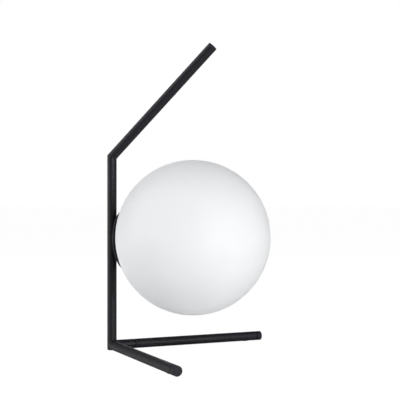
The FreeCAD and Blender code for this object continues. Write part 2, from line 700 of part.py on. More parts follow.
def mouth_gasket():
    """Channel of silicone around the edge of the mouth."""
    body = new_body("mouth_gasket")
    turn_outline(body, "gasket_moulded", [
        ("Calc.gasket_x", "Calc.collar_out_r"), ("Calc.gasket_x", "Calc.seat_r"),
        ("Calc.mouth_x", "Calc.seat_r"), ("Calc.mouth_x", "Calc.mouth_r"),
        ("Calc.mouth_in_x", "Calc.mouth_r"), ("Calc.mouth_in_x", "Calc.seat_r"),
        ("Calc.clamp_x", "Calc.seat_r"), ("Calc.clamp_x", "Calc.collar_out_r")])
    return on_globe_axis(body)


def globe_collar():
    """Collar through the mouth: a flange outside and three lugs for the hooks inside."""
    body = new_body("globe_collar")
    turn_outline(body, "collar_turned", [
        ("Calc.flange_x", "Calc.collar_in_r"), ("Calc.flange_x", "Calc.seat_r"),
        ("Calc.gasket_x", "Calc.seat_r"), ("Calc.gasket_x", "Calc.collar_out_r"),
        ("Calc.collar_end_x", "Calc.collar_out_r"), ("Calc.collar_end_x", "Calc.collar_in_r")])
    lug_front = "Calc.flange_x + Size.lug_thick"
    lug_root = "Calc.collar_in_r + Size.collar_wall / 2"
    lug = turn_outline(body, "lug", [
        ("Calc.flange_x", "Calc.lug_r"), (lug_front, "Calc.lug_r"),
        (lug_front, lug_root), ("Calc.flange_x", lug_root)], angle="Size.lug_angle")
    lug.Midplane = True
    around(body, "lugs", [lug], HOOKS)
    return on_globe_axis(body)


def clamp_ring():
    """Ring screwed onto the collar inside the globe, with notches for its spanner."""
    body = new_body("clamp_ring")
    turn_outline(body, "ring_turned", [
        ("Calc.clamp_x", "Calc.collar_out_r"), ("Calc.clamp_end_x", "Calc.collar_out_r"),
        ("Calc.clamp_end_x", "Calc.seat_r - Size.small_bevel"),
        ("Calc.clamp_end_x - Size.small_bevel", "Calc.seat_r"),
        ("Calc.clamp_x", "Calc.seat_r")])
    notch = drill(body, "spanner_notch", "Size.clamp_notch / 2", "Size.clamp_thick / 2",
                  "Calc.clamp_end_x", "Calc.seat_r")
    around(body, "spanner_notches", [notch], 4)
    return on_globe_axis(body)


# Lampholder, its wires and the bulb

def holder_bracket():
    """Bent sheet: its web sits on the rod between two nuts, and its arms hold the lampholder."""
    body = new_body("holder_bracket")
    end = "Calc.bracket_end_x"
    outside = "Calc.half_height + Size.bracket_thick"
    pad_outline(body, "bracket_sheet", "XZ_Plane", [
        ("Calc.bracket_x", f"-({outside})"), (end, f"-({outside})"), (end, "-Calc.half_height"),
        ("Calc.nut_3_x", "-Calc.half_height"), ("Calc.nut_3_x", "Calc.half_height"),
        (end, "Calc.half_height"), (end, outside), ("Calc.bracket_x", outside)],
        "Size.bracket_width")
    cylinder(body, "rod_hole", "Calc.hole_r", "4 * Size.bracket_thick",
             x="Calc.bracket_x - 2 * Size.bracket_thick", turn=Z_TO_X)
    cylinder(body, "arm_screw_holes", "Size.screw_dia / 2 + Size.hole_gap",
             "2 * Size.holder_height", x="Calc.arm_screw_x", z="-Size.holder_height")
    return on_globe_axis(body)


def lampholder():
    """Porcelain block with a slot for each pin, and a recess behind for the wires."""
    body = new_body("lampholder")
    block = box(body, "porcelain_block", "Size.holder_length", "Size.holder_width",
                "Size.holder_height", add=True, x="Calc.holder_x", y="-Size.holder_width / 2",
                z="-Calc.half_height")
    doc.recompute()
    long_edges = [
        f"Edge{number}" for number, edge in enumerate(block.Shape.Edges, start=1)
        if abs(edge.Length - value("Size.holder_length")) < TOLERANCE
        and abs(edge.tangentAt(edge.FirstParameter).x) > 1 - TOLERANCE]
    rounding = body.newObject("PartDesign::Fillet", "porcelain_rounding")
    rounding.Base = (block, long_edges)
    bind(rounding, Radius="Size.holder_round")
    box(body, "wire_recess", "Size.recess_depth", "2 * Calc.slot_out", "Size.slot_height",
        x="Calc.holder_x", y="-Calc.slot_out", z="-Size.slot_height / 2")
    for side, low in (("left", "Calc.slot_in"), ("right", "-Calc.slot_out")):
        box(body, "pin_slot_" + side, "Calc.holder_end_x - Calc.slot_x", "Size.slot_width",
            "Size.slot_height", x="Calc.slot_x", y=low, z="-Size.slot_height / 2")
    faces = (("top", Z_DOWN, "Calc.half_height"), ("bottom", NO_TURN, "-Calc.half_height"))
    for side, turn, z in faces:
        cylinder(body, "screw_hole_" + side, "Size.screw_dia / 2", "Size.screw_bite",
                 x="Calc.arm_screw_x", z=z, turn=turn)
    return on_globe_axis(body)


def holder_screws():
    """Two screws through the bracket's arms into the porcelain's threaded inserts."""
    screws = []
    for side, turn in (("top", Rotation(Y_AXIS, -90)), ("bottom", Rotation(Y_AXIS, 90))):
        face = ("Calc.half_height + Size.bracket_thick", "Size.bracket_thick")
        screw = small_screw("holder_screw_" + side, face)
        place(screw, x="Calc.arm_screw_x", z="Size.globe_height", turn=turn)
        screws.append(screw)
    return group("holder_screws", screws)


def contact_blades():
    """Two bent contact strips: a tail where the wire ends, and a blade along the slot."""
    blades = []
    for side, sign in (("left", ""), ("right", "-")):
        body = new_body("contact_blade_" + side)
        front = "Calc.holder_end_x - Size.blade_inset"
        inner = f"{sign}(Calc.slot_out - Size.blade_thick)"
        outer = f"{sign}Calc.slot_out"
        near = f"{sign}Size.blade_space / 2"
        tail_front = "Calc.tail_x + Size.blade_thick"
        pad_outline(body, "blade_strip_" + side, "XY_Plane", [
            ("Calc.tail_x", near), ("Calc.tail_x", outer), (front, outer), (front, inner),
            (tail_front, inner), (tail_front, near)], "Size.blade_width")
        blades.append(on_globe_axis(body))
    return group("contact_blades", blades)


def wire(label, sign):
    """One insulated wire: up the stem, round its bend and through the rod to its contact."""
    body = new_body(label)
    route = sketch_on(body, label + "_route", "XZ_Plane")
    bend = value("Size.wire_bend")
    high = value("Size.globe_height")
    low = value("Calc.splice_top")
    end = value("Calc.tail_x")
    rise = route.addGeometry(Part.LineSegment(Vector(0, low, 0), Vector(0, high - bend, 0)), False)
    circle = Part.Circle(Vector(bend, high - bend, 0), Z_AXIS, bend)
    corner = Part.ArcOfCircle(circle, circle.parameter(Vector(bend, high, 0)),
                              circle.parameter(Vector(0, high - bend, 0)))
    curve = route.addGeometry(corner, False)
    run = route.addGeometry(Part.LineSegment(Vector(bend, high, 0), Vector(end, high, 0)), False)
    tie_point(route, rise, 1, "0", "Calc.splice_top")
    tie_point(route, rise, 2, "0", "Size.globe_height - Size.wire_bend")
    tie_point(route, run, 1, "Size.wire_bend", "Size.globe_height")
    tie_point(route, run, 2, "Calc.tail_x", "Size.globe_height")
    route.addConstraint(Sketcher.Constraint("Tangent", rise, 2, curve, 2))
    route.addConstraint(Sketcher.Constraint("Coincident", curve, 1, run, 1))
    section = sketch_on(body, label + "_section", "XY_Plane")
    section.setExpression(".AttachmentOffset.Base.z", "Calc.splice_top")
    section.addGeometry(Part.Circle(Vector(0, 0, 0), Z_AXIS, value("Size.wire_dia / 2")), False)
    section.addConstraint(Sketcher.Constraint("Coincident", 0, 3, -1, 1))
    tie = section.addConstraint(Sketcher.Constraint("Radius", 0, value("Size.wire_dia / 2")))
    section.setExpression(f"Constraints[{tie}]", "Size.wire_dia / 2")
    doc.recompute()
    pipe = body.newObject("PartDesign::AdditivePipe", label + "_pipe")
    pipe.Profile = section
    pipe.Spine = (route, ["Edge1", "Edge2", "Edge3"])
    place(body, y=f"{sign}Calc.wire_y")
    return body


def wire_splices():
    """Two crimped splices where the cord's cores meet the inner wires."""
    splices = []
    for side, sign in (("left", ""), ("right", "-")):
        body = new_body("wire_splice_" + side)
        cylinder(body, "splice_sleeve_" + side, "Size.splice_dia / 2", "Size.splice_length",
                 add=True)
        place(body, y=f"{sign}Calc.splice_y", z="Size.splice_height")
        splices.append(body)
    return group("wire_splices", splices)


def bulb_base():
    """Base of the push-in bulb, with a shoulder inside the end of the cover."""
    body = new_body("bulb_base")
    turn_outline(body, "base_turned", [
        ("Calc.bulb_x", "0"), ("Calc.bulb_x", "Size.bulb_neck_dia / 2 - Size.small_bevel"),
        ("Calc.bulb_x + Size.small_bevel", "Size.bulb_neck_dia / 2"),
        ("Calc.flare_x", "Size.bulb_neck_dia / 2"),
        ("Calc.flare_x + Size.bulb_flare_length", "Calc.bulb_r"),
        ("Calc.cover_x", "Calc.bulb_r"), ("Calc.cover_x", "0")])
    return on_globe_axis(body)


def bulb_cover():
    """Thin frosted cover: a tube closed by a dome."""
    body = new_body("bulb_cover")
    turn_outline(body, "cover_moulded", [
        ("Calc.cover_x", "Calc.bulb_cover_r"), ("Calc.cover_x", "Calc.bulb_r"),
        ("Calc.dome_x", "Calc.bulb_r"), ("Calc.dome_x + Calc.bulb_r", "0"),
        ("Calc.dome_x + Calc.bulb_cover_r", "0"), ("Calc.dome_x", "Calc.bulb_cover_r")],
        arcs=(2, 4))
    return on_globe_axis(body)


def light_strip():
    """Strip of lights that stands on the bulb's base, inside the cover."""
    body = new_body("light_strip")
    box(body, "strip", "Size.board_length", "Size.board_width", "Size.board_thick", add=True,
        x="Calc.cover_x", y="-Size.board_width / 2", z="-Size.board_thick / 2")
    return on_globe_axis(body)


def bulb_pins():
    """Two pins, each a wire bent to a loop."""
    pins = []
    for side, sign in (("left", ""), ("right", "-")):
        body = new_body("bulb_pin_" + side)
        bend_x = "Calc.pin_tip_x + Calc.pin_turn + Calc.pin_r"
        for level, z in (("upper", "Calc.pin_turn"), ("lower", "-Calc.pin_turn")):
            cylinder(body, f"pin_{side}_{level}", "Calc.pin_r", f"Calc.bulb_x - ({bend_x})",
                     add=True, x=bend_x, z=z, turn=Z_TO_X)
        loop = body.newObject("PartDesign::AdditiveTorus", "pin_loop_" + side)
        bind(loop, Radius1="Calc.pin_turn", Radius2="Calc.pin_r")
        loop.Angle3 = 180
        place(loop, x=bend_x, turn=LOOP_TO_MINUS_X)
        place(body, y=f"{sign}Size.pin_spacing / 2", z="Size.globe_height")
        pins.append(body)
    return group("bulb_pins", pins)


def build_all():
    """Every sub-part of the lamp."""
    side_seam = "Size.leg_length - Size.leg_cap_head"
    arm_seam = "Size.arm_length - Size.arm_cap_head"
    foot = tube_cap("stem_foot", "0", "Size.foot_head")
    place(foot, z="Size.foot_head", turn=Rotation(Y_AXIS, 90))
    return [
        stem_tube(), arm_tube(), front_leg_tube(), side_leg_stub(), side_leg_tube(),
        threaded_insert("stub_insert", "Size.joint_reach - Size.insert_length"),
        threaded_insert("leg_insert", "Size.joint_reach"),
        joint_stud(),
        on_arm(tube_cap("arm_cap", arm_seam, "Size.arm_cap_head")),
        on_front_leg(tube_cap("front_leg_cap", side_seam, "Size.leg_cap_head")),
        on_side_leg(tube_cap("side_leg_cap", side_seam, "Size.leg_cap_head")),
        foot,
        on_front_leg(leg_pad("front_leg_pad")), on_side_leg(leg_pad("side_leg_pad")),
        cord_bush(),
        dish_boss(), dish(), bayonet_plate(), plate_screws(),
        fixing_nipple(), lock_washer(), thin_nuts(),
        glass_globe(), mouth_gasket(), globe_collar(), clamp_ring(),
        holder_bracket(), lampholder(), holder_screws(), contact_blades(),
        wire("live_wire", ""), wire("neutral_wire", "-"), wire_splices(),
        bulb_base(), bulb_cover(), light_strip(), bulb_pins(),
    ]


nodes = build_all()
doc.recompute()

for item in doc.Objects:
    if "Invalid" in item.State or "Error" in item.State:
        raise RuntimeError(f"{item.Label} failed: {item.State}")
for node in nodes:
    if node.Shape.isNull() or not node.Shape.isValid() or not node.Shape.Solids:
        raise RuntimeError(f"{node.Label} has no valid solid")

for node in nodes:
    node.Shape.exportStep(f"parts/{node.Label}.step")
    low = node.Shape.BoundBox
    print(f"{node.Label:18s} solids {len(node.Shape.Solids)}  volume {node.Shape.Volume:10.1f}  "
          f"x {low.XMin:7.2f} {low.XMax:7.2f}  y {low.YMin:7.2f} {low.YMax:7.2f}  "
          f"z {low.ZMin:7.2f} {low.ZMax:7.2f}")
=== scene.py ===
import json
import math

import bmesh
import bpy
from mathutils import Matrix, Vector

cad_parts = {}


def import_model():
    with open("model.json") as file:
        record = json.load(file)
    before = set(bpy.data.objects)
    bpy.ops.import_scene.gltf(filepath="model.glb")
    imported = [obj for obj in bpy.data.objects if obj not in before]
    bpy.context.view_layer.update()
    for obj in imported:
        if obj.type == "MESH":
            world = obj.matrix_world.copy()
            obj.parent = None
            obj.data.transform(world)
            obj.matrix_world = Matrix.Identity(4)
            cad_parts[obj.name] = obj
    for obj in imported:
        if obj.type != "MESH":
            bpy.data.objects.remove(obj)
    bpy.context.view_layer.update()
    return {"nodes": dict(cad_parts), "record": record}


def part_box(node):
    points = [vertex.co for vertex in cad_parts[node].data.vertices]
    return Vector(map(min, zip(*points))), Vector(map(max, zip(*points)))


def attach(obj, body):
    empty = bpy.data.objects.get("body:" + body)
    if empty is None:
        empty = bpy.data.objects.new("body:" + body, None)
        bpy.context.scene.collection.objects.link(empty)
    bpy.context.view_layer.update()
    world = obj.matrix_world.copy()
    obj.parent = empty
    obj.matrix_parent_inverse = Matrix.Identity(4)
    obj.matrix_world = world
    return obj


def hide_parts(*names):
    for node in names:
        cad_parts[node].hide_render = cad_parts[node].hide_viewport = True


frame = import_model()
scene = bpy.context.scene
MM = 0.001

# Sizes of the frame of tubes
TUBE_R = 6.25 * MM
BORE_R = 4.75 * MM
FOOT_HEAD = 1.4 * MM
STEM_HEIGHT = 256.8 * MM
ARM_LENGTH = 200.4 * MM
ARM_RISE = math.radians(44.4)
ARM_CAP_HEAD = 1.7 * MM
LEG_LENGTH = 222.9 * MM
LEG_TURN = math.radians(45)
LEG_AXIS = 6.55 * MM
LEG_CAP_HEAD = 8 * MM
JOINT_REACH = 31 * MM
PLUG_DEPTH = 12 * MM
EDGE_BEVEL = 0.5 * MM
CORD_HEIGHT = 22 * MM
CORD_TURN = math.radians(120)
CORD_HOLE_R = 3.7 * MM
CORD_HOLE_BAND = 6 * MM

# Small roundings and joints that the coated frame shows
SEAM_GAP = 1.2 * MM
SEAM_DEPTH = 1.4 * MM
CAP_NECK_R = 3.5 * MM
TIGHT_GAP = 0.1 * MM
SEAM_LIP = 0.1 * MM
TIP_LIP = 0.15 * MM
CAP_ROUND = 0.3 * MM
MITRE_ROUND = 1.6 * MM
WELD_R = 0.35 * MM
BOSS_WELD_R = 0.45 * MM
WELD_PITCH = 1.7 * MM
WELD_RIPPLE = 0.05
WELD_START = -40
WELD_END = 220
WELD_STEPS = 60
RUN_OUT_STEPS = 4
RUN_OUT_SHARE = 0.35

# Sizes of the globe and the dish
GLOBE_R = 100 * MM
GLASS_WALL = 2.5 * MM
GLOBE_HEIGHT = 151.2 * MM
GLOBE_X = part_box("glass_globe")[1].x - GLOBE_R
MOUTH_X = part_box("glass_globe")[0].x
MOUTH_THICK = 3 * MM
MOUTH_R = 30 * MM
MOUTH_ROUND = 0.8 * MM
DISH_IN_R = 101.6 * MM
DISH_OUT_R = 104 * MM
RIM_R = 41 * MM
RIM_BACK_ROUND = 1.7 * MM
RIM_FRONT_ROUND = 0.4 * MM
RIM_DROP = math.radians(2.8)
ROD_HOLE_R = 4.1 * MM
FLOOR_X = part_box("bayonet_plate")[0].x
BOSS_R = 6 * MM
BOSS_FACE_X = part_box("dish")[0].x
BOSS_SEAT_R = BOSS_R + 0.5 * MM
BOSS_LIP = 0.2 * MM

# Fineness of the meshes
ROUND_SIDES = 64
GLOBE_SIDES = 160
DISH_SIDES = 128
DRILL_SIDES = 48
BEAD_SIDES = 12
CORNER_STEPS = 4
RIM_STEPS = 8
CREASE_STEPS = 6
DISH_STEPS = 16
GLOBE_STEPS = 96
GLOBE_INSIDE_STEPS = 72
STRAIGHT = 0.01
SHARP_ANGLE = math.radians(38)

Y_AXIS = Vector((0, 1, 0))
Z_AXIS = Vector((0, 0, 1))
ON_ARM = Matrix.Translation((0, 0, STEM_HEIGHT)) @ Matrix.Rotation(-ARM_RISE, 4, "Y")
ON_SIDE_LEG = Matrix.Translation((0, 0, LEG_AXIS)) @ Matrix.Rotation(LEG_TURN, 4, "Z")
ON_FRONT_LEG = Matrix.Translation((0, 0, LEG_AXIS)) @ Matrix.Rotation(-LEG_TURN, 4, "Z")
ON_GLOBE_AXIS = Matrix.Translation((0, 0, GLOBE_HEIGHT))
ON_OUTLET = Matrix.Translation((0, 0, CORD_HEIGHT)) @ Matrix.Rotation(CORD_TURN, 4, "Z")


# Materials

class Shader:
    """A principled material under construction: nodes are added and linked by short calls."""

    def __init__(self, name, colour, roughness, **sockets):
        self.material = bpy.data.materials.new(name)
        self.material.use_nodes = True
        self.nodes = self.material.node_tree.nodes
        self.links = self.material.node_tree.links
        self.principled = self.nodes["Principled BSDF"]
        self.principled.inputs["Base Color"].default_value = (*colour, 1)
        self.principled.inputs["Roughness"].default_value = roughness
        for socket, number in sockets.items():
            self.principled.inputs[socket.replace("_", " ")].default_value = number
        self.place = self.nodes.new("ShaderNodeTexCoord").outputs["Object"]
        self.height = None

    def link(self, output, socket):
        """Link an output to a socket."""
        self.links.new(output, socket)

    def noise(self, scale, detail=2.0, roughness=0.5, stretch=None):
        """Noise over the piece's own space, whose scale is in lumps per metre."""
        texture = self.nodes.new("ShaderNodeTexNoise")
        texture.inputs["Scale"].default_value = scale
        texture.inputs["Detail"].default_value = detail
        texture.inputs["Roughness"].default_value = roughness
        source = self.place
        if stretch:
            mapping = self.nodes.new("ShaderNodeMapping")
            mapping.inputs["Scale"].default_value = stretch
            self.link(self.place, mapping.inputs["Vector"])
            source = mapping.outputs["Vector"]
        self.link(source, texture.inputs["Vector"])
        return texture.outputs["Fac"]

    def tint(self, source, first, second, start=0.35, end=0.65):
        """Colour the piece between two colours by a texture."""
        ramp = self.nodes.new("ShaderNodeValToRGB")
        ramp.color_ramp.elements[0].position = start
        ramp.color_ramp.elements[0].color = (*first, 1)
        ramp.color_ramp.elements[1].position = end
        ramp.color_ramp.elements[1].color = (*second, 1)
        self.link(source, ramp.inputs["Fac"])
        self.link(ramp.outputs["Color"], self.principled.inputs["Base Color"])

    def polish(self, source, low, high):
        """Vary the roughness from low to high over a texture's middle range."""
        ramp = self.nodes.new("ShaderNodeMapRange")
        ramp.inputs["From Min"].default_value = 0.3
        ramp.inputs["From Max"].default_value = 0.7
        ramp.inputs["To Min"].default_value = low
        ramp.inputs["To Max"].default_value = high
        self.link(source, ramp.inputs["Value"])
        self.link(ramp.outputs["Result"], self.principled.inputs["Roughness"])

    def bump(self, source, depth, strength=1.0):
        """Add relief of a real depth, on top of any relief before it."""
        relief = self.nodes.new("ShaderNodeBump")
        relief.inputs["Strength"].default_value = strength
        relief.inputs["Distance"].default_value = depth
        self.link(source, relief.inputs["Height"])
        if self.height:
            self.link(self.height, relief.inputs["Normal"])
        self.height = relief.outputs["Normal"]
        self.link(self.height, self.principled.inputs["Normal"])


def black_coat():
    """Fine-textured satin powder coat: pimples of about half a millimetre over a slow mottle."""
    shader = Shader("black_coat", (0.0062, 0.005, 0.0092), 0.5, Specular_IOR_Level=0.3)
    shader.tint(shader.noise(900, 3), (0.0053, 0.0042, 0.008), (0.0071, 0.0058, 0.0104))
    shader.polish(shader.noise(420, 3), 0.44, 0.56)
    shader.bump(shader.noise(2600, 2, 0.55), 0.05 * MM, 0.55)
    shader.bump(shader.noise(700, 1), 0.04 * MM, 0.3)
    return shader.material


def black_cap():
    """Moulded matt black plastic, a touch duller than the coat."""
    shader = Shader("black_cap", (0.01, 0.0088, 0.016), 0.56, Specular_IOR_Level=0.3)
    shader.tint(shader.noise(1400, 2), (0.0088, 0.0077, 0.0142), (0.0112, 0.0099, 0.0178))
    shader.polish(shader.noise(600, 2), 0.5, 0.62)
    shader.bump(shader.noise(3400, 2), 0.03 * MM, 0.4)
    return shader.material


def foot_rubber():
    """Dull rubber with a dusty bloom."""
    shader = Shader("foot_rubber", (0.016, 0.016, 0.016), 0.8)
    shader.tint(shader.noise(800, 4), (0.012, 0.012, 0.012), (0.026, 0.026, 0.025))
    shader.polish(shader.noise(500, 2), 0.72, 0.9)
    shader.bump(shader.noise(2200, 3), 0.05 * MM, 0.5)
    return shader.material


def opal_glass():
    """White opal glass with an etched satin face: slow clouds in the white, and a fine even tooth."""
    shader = Shader("opal_glass", (0.86, 0.87, 0.885), 0.42, Specular_IOR_Level=0.2,
                    Subsurface_Weight=0.25, Subsurface_Scale=0.004)
    shader.principled.inputs["Subsurface Radius"].default_value = (1.0, 1.0, 1.0)
    shader.tint(shader.noise(14, 2), (0.85, 0.86, 0.875), (0.87, 0.88, 0.895))
    shader.polish(shader.noise(60, 3), 0.38, 0.46)
    shader.bump(shader.noise(5200, 2), 0.006 * MM, 0.25)
    return shader.material


def plated_steel():
    """Zinc-plated steel: cloudy plate with fine drawn lines."""
    shader = Shader("plated_steel", (0.6, 0.6, 0.58), 0.3, Metallic=1.0)
    shader.tint(shader.noise(260, 4), (0.54, 0.54, 0.52), (0.68, 0.68, 0.66))
    shader.polish(shader.noise(900, 3, stretch=(0.15, 1, 1)), 0.24, 0.4)
    shader.bump(shader.noise(3000, 2, stretch=(0.1, 1, 1)), 0.01 * MM, 0.4)
    return shader.material


def collar_aluminium():
    """Turned aluminium with the tool's fine rings."""
    shader = Shader("collar_aluminium", (0.77, 0.77, 0.78), 0.34, Metallic=1.0)
    shader.tint(shader.noise(300, 3), (0.73, 0.73, 0.74), (0.81, 0.81, 0.82))
    shader.polish(shader.noise(2400, 2, stretch=(1, 0.06, 0.06)), 0.28, 0.42)
    shader.bump(shader.noise(4200, 2, stretch=(1, 0.04, 0.04)), 0.01 * MM, 0.5)
    return shader.material


def gasket_silicone():
    """Milky silicone with a soft face."""
    shader = Shader("gasket_silicone", (0.8, 0.8, 0.77), 0.5, Subsurface_Weight=0.3,
                    Subsurface_Scale=0.001)
    shader.tint(shader.noise(500, 2), (0.77, 0.77, 0.74), (0.82, 0.82, 0.8))
    shader.polish(shader.noise(700, 2), 0.45, 0.6)
    shader.bump(shader.noise(2600, 2), 0.02 * MM, 0.3)
    return shader.material


def porcelain():
    """Glazed porcelain: soft waves in the glaze and a few specks."""
    shader = Shader("porcelain", (0.87, 0.86, 0.82), 0.16)
    shader.tint(shader.noise(1800, 5, 0.7), (0.8, 0.78, 0.72), (0.88, 0.87, 0.83), 0.26, 0.34)
    shader.polish(shader.noise(300, 2), 0.12, 0.24)
    shader.bump(shader.noise(380, 1), 0.05 * MM, 0.3)
    return shader.material


def contact_brass():
    """Drawn brass with a cloudy tarnish."""
    shader = Shader("contact_brass", (0.7, 0.5, 0.22), 0.3, Metallic=1.0)
    shader.tint(shader.noise(700, 4), (0.6, 0.42, 0.18), (0.78, 0.58, 0.28))
    shader.polish(shader.noise(1200, 3, stretch=(0.2, 1, 1)), 0.24, 0.42)
    shader.bump(shader.noise(3200, 2, stretch=(0.15, 1, 1)), 0.01 * MM, 0.4)
    return shader.material


def sleeve(name, first, second):
    """Sleeve of a wire or a splice: smooth, with slow waves from its making."""
    shader = Shader(name, first, 0.45)
    shader.tint(shader.noise(420, 2), first, second)
    shader.polish(shader.noise(500, 2), 0.4, 0.52)
    shader.bump(shader.noise(600, 1, stretch=(1, 1, 0.3)), 0.04 * MM, 0.3)
    return shader.material


def bulb_white():
    """Smooth white plastic of the bulb's base."""
    shader = Shader("bulb_white", (0.84, 0.84, 0.81), 0.3)
    shader.tint(shader.noise(420, 2), (0.82, 0.82, 0.79), (0.86, 0.86, 0.84))
    shader.polish(shader.noise(600, 2), 0.26, 0.36)
    shader.bump(shader.noise(1500, 2), 0.02 * MM, 0.3)
    return shader.material


def bulb_frost():
    """Frosted cover of the bulb, which lets the strip inside show as a soft shape."""
    shader = Shader("bulb_frost", (0.9, 0.9, 0.87), 0.5, Transmission_Weight=0.6, IOR=1.45)
    shader.tint(shader.noise(300, 2), (0.88, 0.88, 0.85), (0.92, 0.92, 0.9))
    shader.polish(shader.noise(900, 2), 0.44, 0.58)
    shader.bump(shader.noise(3600, 2), 0.01 * MM, 0.3)
    return shader.material


def light_board():
    """Aluminium board with a pale mask and rows of yellow lights across it."""
    shader = Shader("light_board", (0.8, 0.8, 0.74), 0.45)
    cells = shader.nodes.new("ShaderNodeTexBrick")
    cells.offset = 0.0
    for socket, number in (("Scale", 1.0), ("Mortar Size", 0.0007), ("Mortar Smooth", 0.1),
                           ("Brick Width", 0.003), ("Row Height", 0.003)):
        cells.inputs[socket].default_value = number
    cells.inputs["Color1"].default_value = (0.8, 0.6, 0.12, 1)
    cells.inputs["Color2"].default_value = (0.84, 0.64, 0.15, 1)
    cells.inputs["Mortar"].default_value = (0.84, 0.84, 0.8, 1)
    shader.link(shader.place, cells.inputs["Vector"])
    shader.link(cells.outputs["Color"], shader.principled.inputs["Base Color"])
    shader.polish(shader.noise(900, 2), 0.38, 0.55)
    shader.bump(cells.outputs["Fac"], 0.05 * MM, -0.5)
    return shader.material


FINISHES = {
    "black_coat": black_coat(),
    "black_cap": black_cap(),
    "foot_rubber": foot_rubber(),
    "plated_steel": plated_steel(),
    "collar_aluminium": collar_aluminium(),
    "opal_glass": opal_glass(),
    "gasket_silicone": gasket_silicone(),
    "porcelain": porcelain(),
    "contact_brass": contact_brass(),
    "live_sleeve": sleeve("live_sleeve", (0.19, 0.085, 0.036), (0.23, 0.105, 0.047)),
    "neutral_sleeve": sleeve("neutral_sleeve", (0.05, 0.15, 0.45), (0.065, 0.18, 0.52)),
    "splice_sleeve": sleeve("splice_sleeve", (0.46, 0.46, 0.45), (0.53, 0.53, 0.52)),
    "bulb_white": bulb_white(),
    "bulb_frost": bulb_frost(),
    "light_board": light_board(),
}


def finish_cad_nodes():
    """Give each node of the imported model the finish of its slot."""
    for part in frame["record"]["subparts"]:
        mesh = frame["nodes"][part["node"]].data
        mesh.materials.clear()
        mesh.materials.append(FINISHES[part["material_slot"]])


# Building pieces

def piece_from(name, bm, slot, body, *nodes):
    """A finished piece that rides on a body and stands for the nodes named."""
    mesh = bpy.data.meshes.new(name)
    bm.to_mesh(mesh)
    bm.free()
    mesh.shade_smooth()
    mesh.set_sharp_from_angle(angle=SHARP_ANGLE)
    mesh.materials.append(FINISHES[slot])
    piece = bpy.data.objects.new(name, mesh)
    scene.collection.objects.link(piece)
    even = piece.modifiers.new("even_shading", "WEIGHTED_NORMAL")
    even.keep_sharp = True
    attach(piece, body)
    if nodes:
        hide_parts(*nodes)


def skin(rings, closed=True):
    """Faces between neighbouring rings of points, where a ring of one point is a pole.
    A closed skin joins the last ring to the first, and an open one gets flat ends."""
    bm = bmesh.new()
    rows = [[bm.verts.new(point) for point in ring] for ring in rings]
    followers = rows[1:] + rows[:1] if closed else rows[1:]
    for row, follower in zip(rows, followers):
        count = max(len(row), len(follower))
        if count == 1:
            continue
        for side in range(count):
            ahead = side + 1
            corners = (row[side % len(row)], row[ahead % len(row)],
                       follower[ahead % len(follower)], follower[side % len(follower)])
            bm.faces.new(dict.fromkeys(corners))
    if not closed:
        bm.faces.new(rows[0][::-1])
        bm.faces.new(rows[-1])
    bmesh.ops.recalc_face_normals(bm, faces=bm.faces)
    return bm


def softened(corners, sizes, steps=CORNER_STEPS):
    """Round the corners of a closed outline of (along, radius) points, each by its own radius."""
    points = [Vector(corner) for corner in corners]
    result = []
    for number, corner in enumerate(points):
        before = points[number - 1] - corner
        after = points[(number + 1) % len(points)] - corner
        turn = math.pi - before.angle(after)
        size = sizes[number]
        if size == 0 or turn < STRAIGHT:
            result.append(corner)
            continue
        reach = size * math.tan(turn / 2)
        start = corner + before.normalized() * reach
        end = corner + after.normalized() * reach
        middle = (before.normalized() + after.normalized()).normalized()
        centre = corner + middle * (size / math.cos(turn / 2))
        first = start - centre
        last = end - centre
        for step in range(steps + 1):
            share = step / steps
            across = first * math.sin((1 - share) * turn) + last * math.sin(share * turn)
            result.append(centre + across / math.sin(turn))
    return result


def arc_between(start, end, centre_along, steps):
    """Points of an outline between two points, on a circle whose centre is on the axis."""
    first = math.atan2(start[1], start[0] - centre_along)
    last = math.atan2(end[1], end[0] - centre_along)
    radius = math.hypot(start[0] - centre_along, start[1])
    angles = [first + (last - first) * step / steps for step in range(1, steps)]
    return [(centre_along + radius * math.cos(angle), radius * math.sin(angle)) for angle in angles]


def ring_about(where, along_at, radius, sides=ROUND_SIDES):
    """A ring of points about the local X axis, at a place along it that may change with the angle."""
    ring = []
    for side in range(sides):
        angle = 2 * math.pi * side / sides
        point = Vector((along_at(angle), radius * math.cos(angle), radius * math.sin(angle)))
        ring.append(where @ point)
    return ring


def turned(outline, where, sides=ROUND_SIDES):
    """Turn an outline of (along, radius) points about the local X axis, which may hold its ends."""
    rings = []
    for along, radius in outline:
        count = sides if radius else 1
        rings.append(ring_about(where, lambda angle: along, radius, count))
    return skin(rings)


def coped_tube(where, start_of, end, outer, inner, lip):
    """A tube along the local X axis whose start, a function of the angle, is cut to its neighbour."""
    far = softened([(end - lip, outer), (end, outer), (end, inner)], [0, lip, 0])
    rings = [ring_about(where, start_of, inner), ring_about(where, start_of, outer)]
    rings += [ring_about(where, lambda angle: along, radius) for along, radius in far[1:]]
    return skin(rings)


def drilled(bm, where, radius, reach):
    """Cut a round hole through a wall, from the local origin along its X axis."""
    drill = turned([(0, 0), (0, radius), (reach, radius), (reach, 0)], where, DRILL_SIDES)
    tools = []
    for name, shape in (("blank", bm), ("drill", drill)):
        mesh = bpy.data.meshes.new(name)
        shape.to_mesh(mesh)
        shape.free()
        tools.append(bpy.data.objects.new(name, mesh))
        scene.collection.objects.link(tools[-1])
    cut = tools[0].modifiers.new("hole", "BOOLEAN")
    cut.operation = "DIFFERENCE"
    cut.object = tools[1]
    result = bmesh.new()
    result.from_object(tools[0], bpy.context.evaluated_depsgraph_get())
    for tool in tools:
        bpy.data.objects.remove(tool)
    return result


